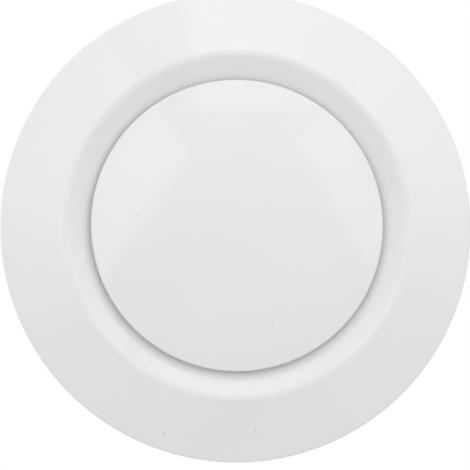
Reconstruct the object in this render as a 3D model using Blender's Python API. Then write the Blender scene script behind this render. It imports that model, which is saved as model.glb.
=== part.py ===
# Circular ceiling air outlet: a disc valve for a round duct, moulded in white plastic.
# Metres, +Z up. The duct's axis is Z and the ceiling's underside is Z = 0: the collar
# stands up into the duct and the flange, funnel and disc face down into the room.

from math import ceil, cos, pi, radians, sin, sqrt, tan

import bmesh
import bpy
from mathutils import Matrix, Vector

MM = 0.001

# Flange and funnel
FLANGE_RUN = 20.4 * MM
FLANGE_SLOPE = radians(18.6)
WALL = 2.0 * MM
RIM_THICKNESS = 1.6 * MM
RIM_LIFT = 0.9 * MM
RIM_ROUNDING = 0.8 * MM
RIM_BACK_ROUNDING = 0.25 * MM
FUNNEL_RUN = 10.1 * MM
FUNNEL_SLOPE = radians(32)
CREST_ROUNDING = 4.0 * MM
THROAT_ROUNDING = 3.0 * MM

# Collar that enters the duct
COLLAR_BORE_R = 44.5 * MM
COLLAR_WALL = 2.3 * MM
COLLAR_HEIGHT = 38.0 * MM
COLLAR_CHAMFER = 1.0 * MM
COLLAR_ROOT_ROUNDING = 1.5 * MM

# Lip seal and its seat near the collar's upper end
SEAL_SEAT_DROP = 2.4 * MM
SEAL_BASE_HEIGHT = 3.0 * MM
SEAL_BASE_THICKNESS = 1.4 * MM
SEAL_LIP_REACH = 3.2 * MM
SEAL_LIP_THICKNESS = 0.7 * MM
SEAL_LIP_ROOT = 1.1 * MM
SEAL_LIP_DROOP = 1.9 * MM
SEAL_GROOVE_DEPTH = 0.6 * MM
BEAD_HEIGHT = 1.3 * MM
BEAD_WIDTH = 1.3 * MM

# Leaf springs, their pads and rivets
SPRING_COUNT = 4
SPRING_WIDTH = 10.0 * MM
SPRING_THICKNESS = 0.4 * MM
SPRING_FLAT = 7.0 * MM
SPRING_BOW = 3.8 * MM
SPRING_BOW_ARC = radians(158)
SPRING_TAIL_GAP = 4.5 * MM
PAD_PROUD = 0.5 * MM
PAD_MARGIN = 1.0 * MM
PAD_DROP = 1.0 * MM
RIVET_R = 1.5 * MM
RIVET_HEAD_R = 3.0 * MM
RIVET_HEAD_HEIGHT = 1.0 * MM
RIVET_HEAD_EDGE = 0.3 * MM
RIVET_TAIL_R = 2.4 * MM
RIVET_TAIL_HEIGHT = 0.8 * MM
RIVET_TAIL_CHAMFER = 0.4 * MM

# Foam gasket behind the flange and the ribs that it lies on
GASKET_THICKNESS = 2.8 * MM
GASKET_FROM_CREST = 3.8 * MM
GASKET_EDGE = 0.7 * MM
RIB_COUNT = 24
RIB_THICKNESS = 1.2 * MM
RIB_SINK = 0.5 * MM
RING_RIB_WIDTH = 1.3 * MM
RING_RIB_STEP = 0.4 * MM

# Disc
DISC_OVERLAP = 1.8 * MM
DISC_DOME = 5.2 * MM
DISC_WALL = 2.0 * MM
DISC_RIM_HEIGHT = 2.0 * MM
DISC_RIM_WIDTH = 2.2 * MM
DISC_RIM_LAND = 0.9 * MM
DISC_EDGE_ROUNDING = 0.45 * MM
DISC_BACK_ROUNDING = 0.3 * MM
DISC_RIB_COUNT = 8
DISC_RIB_THICKNESS = 1.4 * MM
DISC_RIB_DROP = 0.5 * MM
DISC_RING_R = 25.0 * MM
DISC_RING_WIDTH = 1.4 * MM
DISC_RING_HEIGHT = 2.4 * MM
BOSS_R = 6.5 * MM
BOSS_HEIGHT = 6.6 * MM
BOSS_FLOOR = 2.2 * MM
DISC_OPENING = 1.2 * MM

# Spindle, nuts and washers
SPINDLE_R = 3.0 * MM
SPINDLE_TIP = 1.5 * MM
SPINDLE_CHAMFER = 0.6 * MM
NUT_WIDTH = 10.0 * MM
NUT_CHAMFER = radians(30)
JAM_NUT_HEIGHT = 3.2 * MM
HUB_NUT_HEIGHT = 5.0 * MM
STOP_NUT_HEIGHT = 4.4 * MM
STOP_COLLAR_R = 4.3 * MM
STOP_COLLAR_HEIGHT = 1.6 * MM
STOP_COLLAR_CHAMFER = 0.3 * MM
WASHER_R = 6.0 * MM
WASHER_THICKNESS = 1.6 * MM
LOCK_WASHER_R = 7.0 * MM
LOCK_WASHER_THICKNESS = 1.2 * MM
LOCK_NUT_R = 9.0 * MM
LOCK_NUT_HEIGHT = 6.0 * MM
LOCK_NUT_FLUTES = 12
FLUTE_DEPTH = 0.7 * MM
LOCK_NUT_CHAMFER = 0.6 * MM

# Hub and arms across the collar
HUB_R = 7.8 * MM
HUB_HEIGHT = 10.0 * MM
ARM_COUNT = 4
ARM_THICKNESS = 2.0 * MM
ARM_HUB_STEP = 0.6 * MM
ARM_TAPER = 1.6 * MM

# Travel of the disc into and out of the ceiling, and of the lock nut on the spindle
DISC_TRAVEL_IN = 1.0 * MM
DISC_TRAVEL_OUT = 12.0 * MM
LOCK_TRAVEL_UP = 0.7 * MM
LOCK_TRAVEL_DOWN = 4.5 * MM

# Clearances, cutting tools and roundness
GAP = 0.3 * MM
STOP_GAP = 0.3 * MM
BORE_GAP = 0.3 * MM
CUT_OVER = 2.0 * MM
SIDES = 56
SMALL_SIDES = 20
RIVET_SIDES = 12
DOME_STEPS = 6
BOW_STEPS = 8
RIVET_DOME_STEPS = 2
FLUTE_POINTS = 4
ARC_STEP = radians(22)
FILLET_SHARE = 0.45
SHARP_ANGLE = radians(35)
WELD = 1e-7


# Heights of the flange and funnel, front and back

RIM_BACK = -RIM_LIFT
RIM_FRONT = RIM_BACK - RIM_THICKNESS
CREST_R = COLLAR_BORE_R + FUNNEL_RUN
FLANGE_R = CREST_R + FLANGE_RUN
CREST_Z = RIM_FRONT - FLANGE_RUN * tan(FLANGE_SLOPE)
COLLAR_R = COLLAR_BORE_R + COLLAR_WALL


def flange_front(r):
    return RIM_FRONT - (FLANGE_R - r) * tan(FLANGE_SLOPE)


def flange_back(r):
    return flange_front(r) + WALL / cos(FLANGE_SLOPE)


def flange_back_radius(z):
    return FLANGE_R - (RIM_FRONT + WALL / cos(FLANGE_SLOPE) - z) / tan(FLANGE_SLOPE)


def funnel_front(r):
    return CREST_Z + (CREST_R - r) * tan(FUNNEL_SLOPE)


def funnel_back(r):
    return funnel_front(r) + WALL / cos(FUNNEL_SLOPE)


def back_crossing(lift_flange, lift_funnel):
    """Where the flange's line and the funnel's line meet once each is lifted."""
    spread = tan(FLANGE_SLOPE) + tan(FUNNEL_SLOPE)
    r = CREST_R + (lift_funnel - lift_flange) / spread
    return r, flange_front(r) + lift_flange


# Gasket and its seat

GASKET_SEAT = -GASKET_THICKNESS - GAP
GASKET_R = flange_back_radius(-GASKET_THICKNESS) - GASKET_EDGE
CREST_BACK_R, CREST_BACK_Z = back_crossing(WALL / cos(FLANGE_SLOPE), WALL / cos(FUNNEL_SLOPE))
GASKET_BORE_R = CREST_BACK_R + GASKET_FROM_CREST

# Disc and what stands on it

DISC_R = COLLAR_BORE_R + DISC_OVERLAP
DISC_BACK = funnel_front(DISC_R) - DISC_OPENING
DISC_EDGE = DISC_BACK - DISC_RIM_HEIGHT
DISC_APEX = DISC_EDGE - DISC_DOME
DOME_R = (DISC_R**2 + DISC_DOME**2) / (2 * DISC_DOME)
BOSS_TOP = DISC_APEX + DISC_WALL + BOSS_HEIGHT
BORE_R = SPINDLE_R + BORE_GAP
SPINDLE_FOOT = DISC_APEX + BOSS_FLOOR + GAP
WASHER_Z = BOSS_TOP + GAP
JAM_NUT_Z = WASHER_Z + WASHER_THICKNESS + GAP
LOCK_NUT_Z = JAM_NUT_Z + JAM_NUT_HEIGHT + LOCK_TRAVEL_DOWN + STOP_GAP
LOCK_WASHER_Z = LOCK_NUT_Z + LOCK_NUT_HEIGHT + GAP

# Hub, its nut and the stop nut

HUB_Z = LOCK_WASHER_Z + LOCK_WASHER_THICKNESS + DISC_TRAVEL_IN + LOCK_TRAVEL_UP + STOP_GAP
HUB_TOP = HUB_Z + HUB_HEIGHT
HUB_NUT_Z = HUB_TOP - HUB_NUT_HEIGHT
STOP_NUT_Z = HUB_TOP + DISC_TRAVEL_OUT + STOP_GAP
SPINDLE_TOP = STOP_NUT_Z + STOP_NUT_HEIGHT + STOP_COLLAR_HEIGHT + SPINDLE_TIP

# Seal seat and spring pads on the collar's outside, from its upper end down

SEAT_HEIGHT = SEAL_BASE_HEIGHT + 2 * GAP
UPPER_BEAD_TOP = COLLAR_HEIGHT - SEAL_SEAT_DROP
SEAT_TOP = UPPER_BEAD_TOP - BEAD_WIDTH
SEAT_FLOOR = SEAT_TOP - SEAT_HEIGHT
LOWER_BEAD_FLOOR = SEAT_FLOOR - BEAD_WIDTH
BEAD_R = COLLAR_R + BEAD_HEIGHT
GROOVE_R = COLLAR_R - SEAL_GROOVE_DEPTH
PAD_TOP = LOWER_BEAD_FLOOR - PAD_DROP
PAD_FACE = COLLAR_R + PAD_PROUD
SPRING_TOP = PAD_TOP - GAP
SPRING_X = PAD_FACE + GAP
SPRING_FOOT = funnel_back(COLLAR_R) + SPRING_TAIL_GAP
RIVET_Z = SPRING_TOP - SPRING_FLAT / 2


# Shapes

def rounded(corners):
    """The closed outline through (radius, height, rounding) corners, roundings as arcs."""
    outline = []
    for i, (r, z, rounding) in enumerate(corners):
        here = Vector((r, z))
        back = Vector(corners[i - 1][:2]) - here
        ahead = Vector(corners[(i + 1) % len(corners)][:2]) - here
        if not rounding:
            outline.append(here)
            continue
        half = back.angle(ahead) / 2
        room = FILLET_SHARE * min(back.length, ahead.length)
        reach = min(rounding / tan(half), room)
        radius = reach * tan(half)
        centre = here + (back.normalized() + ahead.normalized()).normalized() * radius / sin(half)
        spoke = here + back.normalized() * reach - centre
        turn = pi - 2 * half
        if back.x * ahead.y - back.y * ahead.x > 0:
            turn = -turn
        steps = max(2, ceil(abs(turn) / ARC_STEP))
        for k in range(steps + 1):
            outline.append(centre + Matrix.Rotation(turn * k / steps, 2) @ spoke)
    return outline


def turned(outline, sides=SIDES, closed=True):
    """An outline of (radius, height) points turned once round Z. An open one ends on the axis."""
    shape = bmesh.new()
    ring = [shape.verts.new((r, 0, z)) for r, z in outline]
    ends = ring[1:] + ring[:1] if closed else ring[1:]
    edges = [shape.edges.new(pair) for pair in zip(ring, ends)]
    bmesh.ops.spin(
        shape,
        geom=ring + edges,
        cent=(0, 0, 0),
        axis=(0, 0, 1),
        angle=2 * pi,
        steps=sides,
        use_merge=True,
    )
    bmesh.ops.remove_doubles(shape, verts=shape.verts, dist=WELD)
    bmesh.ops.recalc_face_normals(shape, faces=shape.faces)
    return shape


def plate(outline, thickness):
    """An outline of (radius, height) points made a plate that stands on the XZ plane."""
    shape = bmesh.new()
    face = shape.faces.new([shape.verts.new((r, -thickness / 2, z)) for r, z in outline])
    grown = bmesh.ops.extrude_face_region(shape, geom=[face])
    side = [v for v in grown["geom"] if isinstance(v, bmesh.types.BMVert)]
    bmesh.ops.translate(shape, verts=side, vec=(0, thickness, 0))
    bmesh.ops.recalc_face_normals(shape, faces=shape.faces)
    return shape


def around(shape, count, start=0.0):
    """Copies of a shape spaced evenly round Z, all in one mesh."""
    first = list(shape.verts) + list(shape.edges) + list(shape.faces)
    for k in range(1, count):
        copy = bmesh.ops.duplicate(shape, geom=first)["geom"]
        verts = [v for v in copy if isinstance(v, bmesh.types.BMVert)]
        turn = Matrix.Rotation(2 * pi * k / count, 3, "Z")
        bmesh.ops.rotate(shape, verts=verts, cent=(0, 0, 0), matrix=turn)
    turn = Matrix.Rotation(start, 3, "Z")
    bmesh.ops.rotate(shape, verts=shape.verts, cent=(0, 0, 0), matrix=turn)
    return shape


def prism(radius, sides, low, high):
    """A solid prism round Z, such as a hexagon bar or a round pin."""
    shape = bmesh.new()
    bmesh.ops.create_cone(
        shape,
        cap_ends=True,
        segments=sides,
        radius1=radius,
        radius2=radius,
        depth=high - low,
        matrix=Matrix.Translation((0, 0, (low + high) / 2)),
    )
    return shape


def radial(angle, distance, height):
    """A placing that turns a shape's Z outward from the axis, at an angle round it."""
    return (
        Matrix.Rotation(angle, 4, "Z")
        @ Matrix.Translation((distance, 0, height))
        @ Matrix.Rotation(pi / 2, 4, "Y")
    )


# Objects

def finish(name, colour, roughness, metallic=0.0):
    material = bpy.data.materials.new(name)
    material.use_nodes = True
    shader = material.node_tree.nodes["Principled BSDF"]
    shader.inputs["Base Color"].default_value = (*colour, 1)
    shader.inputs["Roughness"].default_value = roughness
    shader.inputs["Metallic"].default_value = metallic
    material.diffuse_color = (*colour, 1)
    return material


def piece(name, shape, material, place=None):
    mesh = bpy.data.meshes.new(name)
    shape.to_mesh(mesh)
    shape.free()
    mesh.shade_smooth()
    mesh.set_sharp_from_angle(angle=SHARP_ANGLE)
    mesh.materials.append(material)
    made = bpy.data.objects.new(name, mesh)
    made.matrix_world = place or Matrix.Identity(4)
    bpy.context.scene.collection.objects.link(made)
    return made


def combine(target, operation, name, shape, place=None):
    """Joins a shape to a piece, or cuts it out of it, with an exact Boolean."""
    tool = piece(name, shape, target.data.materials[0], place)
    tool.hide_render = True
    tool.display_type = "WIRE"
    step = target.modifiers.new(name, "BOOLEAN")
    step.operation = operation
    step.solver = "EXACT"
    step.object = tool


# Housing

def housing_outline():
    seat_ring = GASKET_BORE_R + GASKET_EDGE
    ring_top = GASKET_SEAT - RING_RIB_STEP
    return rounded([
        (FLANGE_R, RIM_BACK, RIM_BACK_ROUNDING),
        (FLANGE_R, RIM_FRONT, RIM_ROUNDING),
        (CREST_R, CREST_Z, CREST_ROUNDING),
        (COLLAR_BORE_R, funnel_front(COLLAR_BORE_R), THROAT_ROUNDING),
        (COLLAR_BORE_R, COLLAR_HEIGHT, 0),
        (COLLAR_R - COLLAR_CHAMFER, COLLAR_HEIGHT, 0),
        (COLLAR_R, COLLAR_HEIGHT - COLLAR_CHAMFER, 0),
        (COLLAR_R, UPPER_BEAD_TOP, 0),
        (BEAD_R, SEAT_TOP + BEAD_WIDTH / 2, 0),
        (BEAD_R, SEAT_TOP, 0),
        (GROOVE_R, SEAT_TOP, 0),
        (GROOVE_R, SEAT_FLOOR, 0),
        (BEAD_R, SEAT_FLOOR, 0),
        (BEAD_R, LOWER_BEAD_FLOOR, 0),
        (COLLAR_R, LOWER_BEAD_FLOOR, 0),
        (COLLAR_R, funnel_back(COLLAR_R), COLLAR_ROOT_ROUNDING),
        (CREST_BACK_R, CREST_BACK_Z, CREST_ROUNDING - WALL),
        (seat_ring, flange_back(seat_ring), 0),
        (seat_ring, ring_top, 0),
        (seat_ring + RING_RIB_WIDTH, ring_top, 0),
        (seat_ring + RING_RIB_WIDTH, flange_back(seat_ring + RING_RIB_WIDTH), 0),
        (flange_back_radius(RIM_BACK), RIM_BACK, 0),
    ])


def gasket_ribs():
    """Ribs behind the flange, whose feet run inside its wall and whose tops carry the gasket."""
    inside_flange = WALL / 2 / cos(FLANGE_SLOPE)
    inside_funnel = WALL / 2 / cos(FUNNEL_SLOPE)
    outer = flange_back_radius(GASKET_SEAT) + RIB_SINK
    inner = CREST_R - (GASKET_SEAT - inside_funnel - CREST_Z) / tan(FUNNEL_SLOPE)
    rib = plate(
        [
            (inner, GASKET_SEAT),
            (outer, GASKET_SEAT),
            (outer, flange_front(outer) + inside_flange),
            back_crossing(inside_flange, inside_funnel),
        ],
        RIB_THICKNESS,
    )
    return around(rib, RIB_COUNT, pi / RIB_COUNT)


def hub_arms():
    """Arms from inside the hub to inside the collar's wall, deeper at the hub."""
    hub_end = (BORE_R + HUB_R) / 2
    wall_end = COLLAR_BORE_R + COLLAR_WALL / 2
    arm = plate(
        [
            (hub_end, HUB_Z + ARM_HUB_STEP),
            (wall_end, HUB_Z + ARM_HUB_STEP + ARM_TAPER),
            (wall_end, HUB_TOP - ARM_HUB_STEP - ARM_TAPER),
            (hub_end, HUB_TOP - ARM_HUB_STEP),
        ],
        ARM_THICKNESS,
    )
    return around(arm, ARM_COUNT)


def spring_pads():
    """Flats on the collar for the leaf springs' fixed ends."""
    wall_middle = COLLAR_BORE_R + COLLAR_WALL / 2
    foot = SPRING_TOP - SPRING_FLAT
    pad = plate(
        [(wall_middle, foot), (PAD_FACE, foot), (PAD_FACE, PAD_TOP), (wall_middle, PAD_TOP)],
        SPRING_WIDTH + 2 * PAD_MARGIN,
    )
    return around(pad, SPRING_COUNT, pi / SPRING_COUNT)


def rivet_holes():
    hole = prism(RIVET_R + BORE_GAP, RIVET_SIDES, -CUT_OVER, PAD_FACE - COLLAR_BORE_R + CUT_OVER)
    bmesh.ops.transform(hole, verts=hole.verts, matrix=radial(0, COLLAR_BORE_R, RIVET_Z))
    return around(hole, SPRING_COUNT, pi / SPRING_COUNT)


def nut_pocket():
    corner = (NUT_WIDTH / 2 + BORE_GAP) / cos(pi / 6)
    return prism(corner, 6, HUB_NUT_Z - GAP, HUB_TOP + CUT_OVER)


def spindle_hole():
    return prism(BORE_R, SMALL_SIDES, HUB_Z - CUT_OVER, HUB_TOP)


def make_housing(white):
    housing = piece("flange_housing", turned(housing_outline()), white)
    combine(housing, "UNION", "hub_blank", prism(HUB_R, SIDES, HUB_Z, HUB_TOP))
    combine(housing, "UNION", "hub_arms", hub_arms())
    combine(housing, "UNION", "gasket_ribs", gasket_ribs())
    combine(housing, "UNION", "spring_pads", spring_pads())
    combine(housing, "DIFFERENCE", "spindle_hole", spindle_hole())
    combine(housing, "DIFFERENCE", "nut_pocket", nut_pocket())
    combine(housing, "DIFFERENCE", "rivet_holes", rivet_holes())


# Soft seals

def make_gasket(foam):
    outline = [
        (GASKET_BORE_R, -GASKET_THICKNESS),
        (GASKET_R, -GASKET_THICKNESS),
        (GASKET_R, 0),
        (GASKET_BORE_R, 0),
    ]
    piece("foam_gasket", turned(outline), foam)


def make_lip_seal(rubber):
    """A ring that sits between the beads, with one lip that trails towards the room."""
    base = GROOVE_R + GAP
    root = base + SEAL_BASE_THICKNESS
    low = SEAT_FLOOR + GAP
    high = low + SEAL_BASE_HEIGHT
    tip = root + SEAL_LIP_REACH
    outline = [
        (base, low),
        (root, low),
        (root, high - SEAL_LIP_ROOT),
        (tip, high - SEAL_LIP_DROOP - SEAL_LIP_THICKNESS),
        (tip, high - SEAL_LIP_DROOP),
        (root, high),
        (base, high),
    ]
    piece("duct_lip_seal", turned(outline), rubber)


# Springs and rivets

def spring_line():
    """The leaf's middle line as (distance from the axis, height), top to tail."""
    fold = SPRING_TOP - SPRING_FLAT
    x = SPRING_X + SPRING_THICKNESS / 2
    line = [Vector((x, SPRING_TOP)), Vector((x, fold))]
    for k in range(1, BOW_STEPS + 1):
        share = k / BOW_STEPS
        bow = SPRING_BOW * sin(SPRING_BOW_ARC * share)
        line.append(Vector((x + bow, fold + share * (SPRING_FOOT - fold))))
    return line


def leaf_outline():
    """The leaf's edge: its middle line moved half a thickness to each side."""
    line = spring_line()
    sides = []
    for i, point in enumerate(line):
        along = (line[min(i + 1, len(line) - 1)] - line[max(i - 1, 0)]).normalized()
        across = Vector((along.y, -along.x)) * SPRING_THICKNESS / 2
        sides.append((point + across, point - across))
    return [near for near, _ in sides] + [far for _, far in reversed(sides)]


def rivet_outline():
    """Head, shank and formed tail along Z, from the spring's outer face inwards."""
    shank = SPRING_X + SPRING_THICKNESS + 2 * GAP - COLLAR_BORE_R
    tail = -shank - RIVET_TAIL_HEIGHT
    crown = RIVET_HEAD_HEIGHT - RIVET_HEAD_EDGE
    angles = [pi / 2 * k / RIVET_DOME_STEPS for k in range(RIVET_DOME_STEPS + 1)]
    head = [(RIVET_HEAD_R * sin(a), RIVET_HEAD_EDGE + crown * cos(a)) for a in angles]
    return head + [
        (RIVET_HEAD_R, 0),
        (RIVET_R, 0),
        (RIVET_R, -shank),
        (RIVET_TAIL_R, -shank),
        (RIVET_TAIL_R - RIVET_TAIL_CHAMFER, tail),
        (0, tail),
    ]


def make_springs(steel, rivet_metal):
    hole_place = radial(0, COLLAR_R, RIVET_Z)
    for k in range(SPRING_COUNT):
        angle = 2 * pi * (k + 0.5) / SPRING_COUNT
        turn = Matrix.Rotation(angle, 4, "Z")
        leaf = plate(leaf_outline(), SPRING_WIDTH)
        spring = piece(f"retaining_spring_{k + 1}", leaf, steel, turn)
        hole = prism(RIVET_R + BORE_GAP, SMALL_SIDES, 0, SPRING_X - COLLAR_R + CUT_OVER)
        combine(spring, "DIFFERENCE", f"spring_hole_{k + 1}", hole, turn @ hole_place)
        piece(
            f"spring_rivet_{k + 1}",
            turned(rivet_outline(), RIVET_SIDES, closed=False),
            rivet_metal,
            radial(angle, SPRING_X + SPRING_THICKNESS + GAP, RIVET_Z),
        )


# Disc

def dome(r, depth=0.0):
    """Height of the disc's face at a radius, or of the surface a depth behind it."""
    return DISC_APEX + DOME_R - sqrt((DOME_R - depth) ** 2 - r**2)


def disc_outline():
    """From the middle of the face, out over the rim and back in to the spindle's hole."""
    face_end = DISC_R - DISC_RIM_LAND
    rim_inside = DISC_R - DISC_RIM_WIDTH
    steps = [face_end * k / DOME_STEPS for k in range(DOME_STEPS)]
    face = [(r, dome(r)) for r in steps]
    edge = rounded([
        (0, dome(face_end), 0),
        (face_end, dome(face_end), 0),
        (DISC_R, DISC_EDGE, DISC_EDGE_ROUNDING),
        (DISC_R, DISC_BACK, DISC_BACK_ROUNDING),
        (rim_inside, DISC_BACK, DISC_BACK_ROUNDING),
        (rim_inside, dome(rim_inside, DISC_WALL), 0),
    ])[1:]
    ring_in = DISC_RING_R - DISC_RING_WIDTH / 2
    ring_out = DISC_RING_R + DISC_RING_WIDTH / 2
    ring_top = dome(DISC_RING_R, DISC_WALL) + DISC_RING_HEIGHT
    between = (rim_inside + ring_out) / 2
    back = [
        (between, dome(between, DISC_WALL)),
        (ring_out, dome(ring_out, DISC_WALL)),
        (ring_out, ring_top),
        (ring_in, ring_top),
        (ring_in, dome(ring_in, DISC_WALL)),
        (BOSS_R, dome(BOSS_R, DISC_WALL)),
        (BOSS_R, BOSS_TOP),
        (BORE_R, BOSS_TOP),
        (BORE_R, DISC_APEX + BOSS_FLOOR),
        (0, DISC_APEX + BOSS_FLOOR),
    ]
    return face + edge + back


def disc_ribs():
    """Ribs from the boss to the rim, whose feet follow the dome inside its wall."""
    inner = (BORE_R + BOSS_R) / 2
    outer = DISC_R - DISC_RIM_WIDTH / 2
    feet = [inner + (outer - inner) * k / DOME_STEPS for k in range(DOME_STEPS + 1)]
    rib = plate(
        [(r, dome(r, DISC_WALL / 2)) for r in feet]
        + [(outer, DISC_BACK - DISC_RIB_DROP), (inner, BOSS_TOP - DISC_RIB_DROP)],
        DISC_RIB_THICKNESS,
    )
    return around(rib, DISC_RIB_COUNT)


def make_disc(white):
    disc = piece("valve_disc", turned(disc_outline(), closed=False), white)
    combine(disc, "UNION", "disc_ribs", disc_ribs())


# Spindle, nuts and washers

def make_spindle(zinc):
    outline = [
        (0, SPINDLE_FOOT),
        (SPINDLE_R - SPINDLE_CHAMFER, SPINDLE_FOOT),
        (SPINDLE_R, SPINDLE_FOOT + SPINDLE_CHAMFER),
        (SPINDLE_R, SPINDLE_TOP - SPINDLE_CHAMFER),
        (SPINDLE_R - SPINDLE_CHAMFER, SPINDLE_TOP),
        (0, SPINDLE_TOP),
    ]
    piece("spindle", turned(outline, SMALL_SIDES, closed=False), zinc)


def make_washer(name, z, radius, thickness, material):
    outline = [(BORE_R, z), (radius, z), (radius, z + thickness), (BORE_R, z + thickness)]
    piece(name, turned(outline, SMALL_SIDES), material)


def make_hex_nut(name, z, height, material, collar_height=0.0):
    """A hexagon cut from a turned blank whose chamfers round off its corners."""
    flat = NUT_WIDTH / 2
    corner = flat / cos(pi / 6)
    blank_r = corner + GAP
    drop = (blank_r - flat) * tan(NUT_CHAMFER)
    top = z + height
    crown = top + collar_height
    blank = [(BORE_R, z), (flat, z), (blank_r, z + drop), (blank_r, top - drop), (flat, top)]
    if collar_height:
        blank += [
            (STOP_COLLAR_R, top),
            (STOP_COLLAR_R, crown - STOP_COLLAR_CHAMFER),
            (STOP_COLLAR_R - STOP_COLLAR_CHAMFER, crown),
        ]
    blank.append((BORE_R, crown))
    nut = piece(name, turned(blank, SMALL_SIDES), material)
    combine(nut, "INTERSECT", f"{name}_hexagon", prism(corner, 6, z - CUT_OVER, crown + CUT_OVER))


def make_lock_nut(grey):
    """A hand nut: a round nut with flutes round its side and chamfered ends."""
    points = FLUTE_POINTS * LOCK_NUT_FLUTES
    angles = [2 * pi * i / points for i in range(points)]
    top = LOCK_NUT_Z + LOCK_NUT_HEIGHT
    levels = [
        (LOCK_NUT_CHAMFER, LOCK_NUT_Z),
        (0, LOCK_NUT_Z + LOCK_NUT_CHAMFER),
        (0, top - LOCK_NUT_CHAMFER),
        (LOCK_NUT_CHAMFER, top),
    ]
    shape = bmesh.new()
    loops = []
    for inset, z in levels:
        loop = []
        for a in angles:
            r = LOCK_NUT_R - inset - FLUTE_DEPTH * (1 - cos(LOCK_NUT_FLUTES * a)) / 2
            loop.append(shape.verts.new((r * cos(a), r * sin(a), z)))
        loops.append(loop)
    for z in (top, LOCK_NUT_Z):
        loops.append([shape.verts.new((BORE_R * cos(a), BORE_R * sin(a), z)) for a in angles])
    for low, high in zip(loops, loops[1:] + loops[:1]):
        for i in range(points):
            j = (i + 1) % points
            shape.faces.new((low[i], low[j], high[j], high[i]))
    bmesh.ops.recalc_face_normals(shape, faces=shape.faces)
    piece("lock_nut", shape, grey)


def main():
    for old in list(bpy.data.objects):
        bpy.data.objects.remove(old, do_unlink=True)
    white = finish("white_plastic", (0.86, 0.86, 0.86), 0.22)
    foam = finish("grey_foam", (0.18, 0.18, 0.19), 0.95)
    rubber = finish("black_rubber", (0.03, 0.03, 0.03), 0.7)
    steel = finish("spring_steel", (0.56, 0.57, 0.58), 0.3, 1.0)
    zinc = finish("zinc_plated_steel", (0.62, 0.63, 0.65), 0.35, 1.0)
    rivet_metal = finish("rivet_aluminium", (0.75, 0.75, 0.76), 0.4, 1.0)
    grey = finish("grey_plastic", (0.42, 0.43, 0.44), 0.45)

    make_housing(white)
    make_gasket(foam)
    make_lip_seal(rubber)
    make_springs(steel, rivet_metal)
    make_disc(white)
    make_spindle(zinc)
    make_washer("spindle_washer", WASHER_Z, WASHER_R, WASHER_THICKNESS, zinc)
    make_hex_nut("jam_nut", JAM_NUT_Z, JAM_NUT_HEIGHT, zinc)
    make_lock_nut(grey)
    make_washer("lock_washer", LOCK_WASHER_Z, LOCK_WASHER_R, LOCK_WASHER_THICKNESS, zinc)
    make_hex_nut("hub_nut", HUB_NUT_Z, HUB_NUT_HEIGHT, zinc)
    make_hex_nut("stop_nut", STOP_NUT_Z, STOP_NUT_HEIGHT, zinc, STOP_COLLAR_HEIGHT)


main()
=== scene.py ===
# Circular ceiling air outlet: the looks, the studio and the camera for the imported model.
# Settings are in millimetres and degrees, and the frame is the CAD's: the face looks down.
from math import atan2, ceil, cos, hypot, pi, radians, sin, sqrt, tan

import bmesh
import bpy
from mathutils import Matrix, Vector


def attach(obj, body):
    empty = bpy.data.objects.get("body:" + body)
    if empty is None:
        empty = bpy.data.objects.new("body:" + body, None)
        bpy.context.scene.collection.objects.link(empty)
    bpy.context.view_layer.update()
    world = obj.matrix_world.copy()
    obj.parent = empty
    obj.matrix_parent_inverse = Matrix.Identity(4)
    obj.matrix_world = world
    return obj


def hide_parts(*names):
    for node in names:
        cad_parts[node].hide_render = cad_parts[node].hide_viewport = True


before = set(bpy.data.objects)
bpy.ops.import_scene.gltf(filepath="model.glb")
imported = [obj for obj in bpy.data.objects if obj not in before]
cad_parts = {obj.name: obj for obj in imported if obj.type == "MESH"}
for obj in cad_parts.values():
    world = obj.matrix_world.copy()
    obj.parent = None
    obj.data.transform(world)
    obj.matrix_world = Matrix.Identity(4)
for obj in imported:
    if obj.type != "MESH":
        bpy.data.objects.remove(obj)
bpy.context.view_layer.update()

mm = 0.001
near = 0.01  # mm: how close to its place a vertex must be to be picked
nearAngle = 0.01  # radians: the same for its direction from the axis
weld = 0.001  # mm: doubles closer than this are merged
fineWeld = 0.0005  # mm: the same after a Boolean
threadWeld = 0.002  # mm: the same on the thread
crease = 30  # degrees: a bar's edges that are sharper than this are rounded

print("loaded the frame with", len(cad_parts), "CAD nodes")


# tools that every piece uses

def selectOnly(piece):
    bpy.ops.object.select_all(action="DESELECT")
    piece.select_set(True)
    bpy.context.view_layer.objects.active = piece


def applyPlace(piece):
    # puts the object's place, turn and scale into its mesh
    selectOnly(piece)
    bpy.ops.object.transform_apply(location=True, rotation=True, scale=True)


def startEdit(name, scale=(1, 1, 1)):
    # the new primitive becomes the piece, selected all over in edit mode
    piece = bpy.context.object
    piece.name = name
    piece.data.name = name
    piece.scale = scale
    applyPlace(piece)
    bpy.ops.object.mode_set(mode="EDIT")
    bpy.ops.mesh.select_all(action="SELECT")
    return piece


def pick(piece, wanted):
    # selects what lies where wanted(place in mm) says
    bpy.ops.mesh.select_all(action="DESELECT")
    mesh = bmesh.from_edit_mesh(piece.data)
    for vert in mesh.verts:
        vert.select_set(wanted(vert.co / mm))
    mesh.select_flush(True)
    bmesh.update_edit_mesh(piece.data)


def pickRing(piece, radius, height):
    def onRing(spot):
        return abs(hypot(spot.x, spot.y) - radius) < near and abs(spot.z - height) < near

    pick(piece, onRing)


def extrudeRing(here, there):
    # one more ring, from (radius, height) to the next; radius 0 closes it in a pole
    rise = (0, 0, (there[1] - here[1]) * mm)
    bpy.ops.mesh.extrude_edges_move(TRANSFORM_OT_translate={"value": rise})
    if there[0] == 0:
        bpy.ops.mesh.merge(type="CENTER")
    elif there[0] != here[0]:
        grow = there[0] / here[0]
        bpy.ops.transform.resize(value=(grow, grow, 1), center_override=(0, 0, there[1] * mm))


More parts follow.
